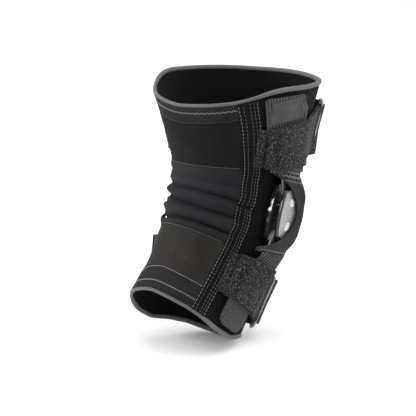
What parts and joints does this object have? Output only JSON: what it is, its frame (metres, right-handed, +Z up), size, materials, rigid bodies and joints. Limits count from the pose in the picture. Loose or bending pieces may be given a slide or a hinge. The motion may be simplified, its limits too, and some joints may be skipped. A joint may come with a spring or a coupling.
{
  "type": "hinged knee brace",
  "caption": "Hinged knee brace: closed elastic sleeve, geared two-pivot hinges on both sides, folded hook-and-loop straps round metal rings above and below the knee.",
  "frame": {"origin": "centre of the knee, on the leg axis midway between the two pivots of each hinge", "axes": "+Z up along the thigh, -Y the front of the knee, -X the side shown to the viewer"},
  "size_m": [0.1698, 0.2065, 0.2532],
  "materials": {
    "black_knit": "matt stretch knit",
    "grey_knit": "fine ribbed knit",
    "olive_knit": "matt stretch knit",
    "neoprene": "knit-faced neoprene",
    "binding": "folded elastic binding",
    "foam": "fabric-covered foam",
    "seam_tape": "stitched tape",
    "webbing": "ribbed elastic webbing",
    "stretch_fabric": "smooth stretch fabric",
    "badge_rubber": "blank moulded patch",
    "strap_loop": "brushed loop pile",
    "elastic_band": "woven elastic",
    "ring_metal": "bright wire",
    "arm_aluminium": "brushed",
    "hinge_black": "moulded gloss",
    "hinge_face": "satin",
    "rivet_steel": "polished"
  },
  "bodies": {
    "thigh": {"thigh_back_panel": "black_knit", "thigh_front_panel": "neoprene", "thigh_binding": "binding", "thigh_front_band": "elastic_band", "lateral_thigh_tape": "seam_tape", "lateral_thigh_pocket": "webbing", "lateral_badge": "badge_rubber", "lateral_thigh_strap": "strap_loop", "lateral_thigh_ring": "ring_metal", "lateral_thigh_loop_pad": "strap_loop", "lateral_upper_arm": "arm_aluminium", "medial_thigh_tape": "seam_tape", "medial_thigh_pocket": "webbing", "medial_badge": "badge_rubber", "medial_thigh_strap": "strap_loop", "medial_thigh_ring": "ring_metal", "medial_thigh_loop_pad": "strap_loop", "medial_upper_arm": "arm_aluminium"},
    "lateral_hinge": {"popliteal_panel": "grey_knit", "knee_front_panel": "neoprene", "patella_buttress": "foam", "lateral_knee_tape": "seam_tape", "medial_knee_tape": "seam_tape", "lateral_condyle_pad": "foam", "lateral_inner_cover": "hinge_black", "lateral_outer_cover": "hinge_black", "lateral_face_plate": "hinge_face", "lateral_pivot_rivets": "rivet_steel", "lateral_pocket_bridge": "stretch_fabric"},
    "medial_hinge": {"medial_condyle_pad": "foam", "medial_inner_cover": "hinge_black", "medial_outer_cover": "hinge_black", "medial_face_plate": "hinge_face", "medial_pivot_rivets": "rivet_steel", "medial_pocket_bridge": "stretch_fabric"},
    "shin": {"shin_back_panel": "olive_knit", "shin_front_panel": "neoprene", "shin_binding": "binding", "shin_front_band": "elastic_band", "lateral_shin_tape": "seam_tape", "lateral_shin_pocket": "webbing", "lateral_shin_strap": "strap_loop", "lateral_shin_ring": "ring_metal", "lateral_shin_loop_pad": "strap_loop", "lateral_lower_arm": "arm_aluminium", "medial_shin_tape": "seam_tape", "medial_shin_pocket": "webbing", "medial_shin_strap": "strap_loop", "medial_shin_ring": "ring_metal", "medial_shin_loop_pad": "strap_loop", "medial_lower_arm": "arm_aluminium"}
  },
  "joints": [
    {"name": "lateral_upper_pivot", "type": "hinge", "parent": "thigh", "child": "lateral_hinge", "pos_m": [-0.068, -0.001, 0.01427], "axis": [1, 0, 0], "range_deg": [-18, 30], "deforming": ["popliteal_panel", "knee_front_panel", "patella_buttress", "lateral_knee_tape", "medial_knee_tape", "lateral_pocket_bridge", "thigh_back_panel", "shin_back_panel"]},
    {"name": "lateral_lower_pivot", "type": "hinge", "parent": "lateral_hinge", "child": "shin", "pos_m": [-0.068, 0.00642, -0.00856], "axis": [1, 0, 0], "range_deg": [-18, 30], "deforming": ["popliteal_panel", "knee_front_panel", "patella_buttress", "lateral_knee_tape", "medial_knee_tape", "lateral_pocket_bridge", "thigh_back_panel", "shin_back_panel"]},
    {"name": "medial_upper_pivot", "type": "hinge", "parent": "thigh", "child": "medial_hinge", "pos_m": [0.068, -0.001, 0.01427], "axis": [1, 0, 0], "range_deg": [-18, 30], "deforming": ["medial_pocket_bridge"]}
  ],
  "couplings": [
    {"joint": "lateral_lower_pivot", "follows": "lateral_upper_pivot", "ratio": 1},
    {"joint": "medial_upper_pivot", "follows": "lateral_upper_pivot", "ratio": 1}
  ]
}
